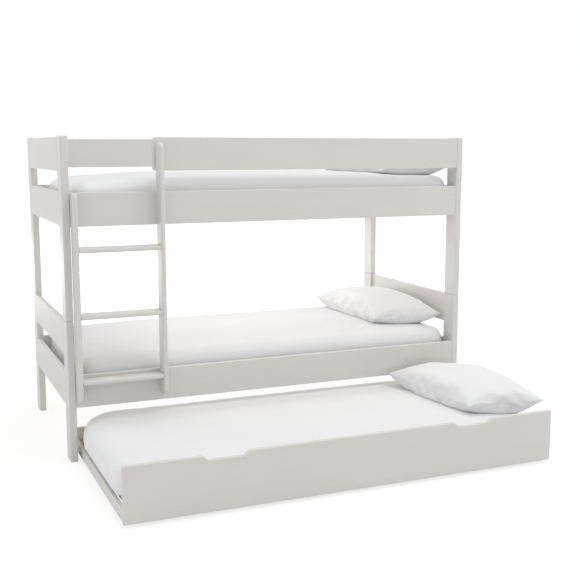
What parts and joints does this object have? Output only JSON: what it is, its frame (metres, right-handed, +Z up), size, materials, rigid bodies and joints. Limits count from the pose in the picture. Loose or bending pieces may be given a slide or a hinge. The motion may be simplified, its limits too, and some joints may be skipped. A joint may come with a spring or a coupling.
{
  "type": "bunk bed with trundle",
  "caption": "Painted wooden bunk bed with end planks, guard rails, a front ladder, mattresses and pillows, and a low trundle bed that rolls in under it on castors.",
  "frame": {"origin": "on the floor, at the middle of the part's outline in plan with the trundle drawn right out", "axes": "+X along the bed from the ladder end to the pillow end, +Y from the ladder side to the back, +Z up"},
  "size_m": [1.98, 1.799, 1.4175],
  "materials": {
    "paint": "satin",
    "bare_wood": "matte",
    "mattress_cover": "matte",
    "pillow_case": "matte",
    "zinc": "satin",
    "wheel_rubber": "matte"
  },
  "bodies": {
    "bed": {"lower_post_front_left": "paint", "lower_post_front_right": "paint", "lower_post_back_left": "paint", "lower_post_back_right": "paint", "upper_post_front_left": "paint", "upper_post_front_right": "paint", "upper_post_back_left": "paint", "upper_post_back_right": "paint", "lower_left_bottom_plank": "paint", "lower_left_top_plank": "paint", "lower_right_bottom_plank": "paint", "lower_right_top_plank": "paint", "upper_left_bottom_plank": "paint", "upper_left_top_plank": "paint", "upper_right_bottom_plank": "paint", "upper_right_top_plank": "paint", "lower_front_side_rail": "paint", "lower_back_side_rail": "paint", "upper_front_side_rail": "paint", "upper_back_side_rail": "paint", "front_guard_rail": "paint", "back_guard_rail": "paint", "ladder_left_stile": "paint", "ladder_right_stile": "paint", "ladder_rung_1": "paint", "ladder_rung_2": "paint", "ladder_rung_3": "paint", "dowel_front_left": "bare_wood", "dowel_front_right": "bare_wood", "dowel_back_left": "bare_wood", "dowel_back_right": "bare_wood", "lower_front_bearer": "bare_wood", "lower_back_bearer": "bare_wood", "upper_front_bearer": "bare_wood", "upper_back_bearer": "bare_wood", "lower_slat_base": "bare_wood", "upper_slat_base": "bare_wood", "lower_mattress": "mattress_cover", "upper_mattress": "mattress_cover", "lower_pillow": "pillow_case", "upper_pillow": "pillow_case"},
    "trundle": {"trundle_front_panel": "paint", "trundle_back_panel": "paint", "trundle_left_end_board": "paint", "trundle_right_end_board": "paint", "trundle_front_bearer": "bare_wood", "trundle_middle_bearer": "bare_wood", "trundle_back_bearer": "bare_wood", "trundle_slat_base": "bare_wood", "trundle_mattress": "mattress_cover", "trundle_pillow": "pillow_case", "castor_bracket_front_left": "zinc", "castor_bracket_front_right": "zinc", "castor_bracket_back_left": "zinc", "castor_bracket_back_right": "zinc"},
    "wheel_front_left": {"castor_wheel_front_left": "wheel_rubber"},
    "wheel_front_right": {"castor_wheel_front_right": "wheel_rubber"},
    "wheel_back_left": {"castor_wheel_back_left": "wheel_rubber"},
    "wheel_back_right": {"castor_wheel_back_right": "wheel_rubber"}
  },
  "joints": [
    {"name": "trundle_slide", "type": "slide", "parent": "bed", "child": "trundle", "axis": [0, 1, 0], "range_m": [0, 0.814], "deforming": ["trundle_pillow"]},
    {"name": "wheel_front_left_spin", "type": "hinge", "parent": "trundle", "child": "wheel_front_left", "pos_m": [-0.9122, -0.8255, 0.019], "axis": [1, 0, 0], "continuous": true},
    {"name": "wheel_front_right_spin", "type": "hinge", "parent": "trundle", "child": "wheel_front_right", "pos_m": [0.9122, -0.8255, 0.019], "axis": [1, 0, 0], "continuous": true},
    {"name": "wheel_back_left_spin", "type": "hinge", "parent": "trundle", "child": "wheel_back_left", "pos_m": [-0.9122, 0.0105, 0.019], "axis": [1, 0, 0], "continuous": true},
    {"name": "wheel_back_right_spin", "type": "hinge", "parent": "trundle", "child": "wheel_back_right", "pos_m": [0.9122, 0.0105, 0.019], "axis": [1, 0, 0], "continuous": true}
  ],
  "couplings": [
    {"joint": "wheel_front_left_spin", "follows": "trundle_slide", "rad_per_m": -52.632},
    {"joint": "wheel_front_right_spin", "follows": "trundle_slide", "rad_per_m": -52.632},
    {"joint": "wheel_back_left_spin", "follows": "trundle_slide", "rad_per_m": -52.632},
    {"joint": "wheel_back_right_spin", "follows": "trundle_slide", "rad_per_m": -52.632}
  ]
}
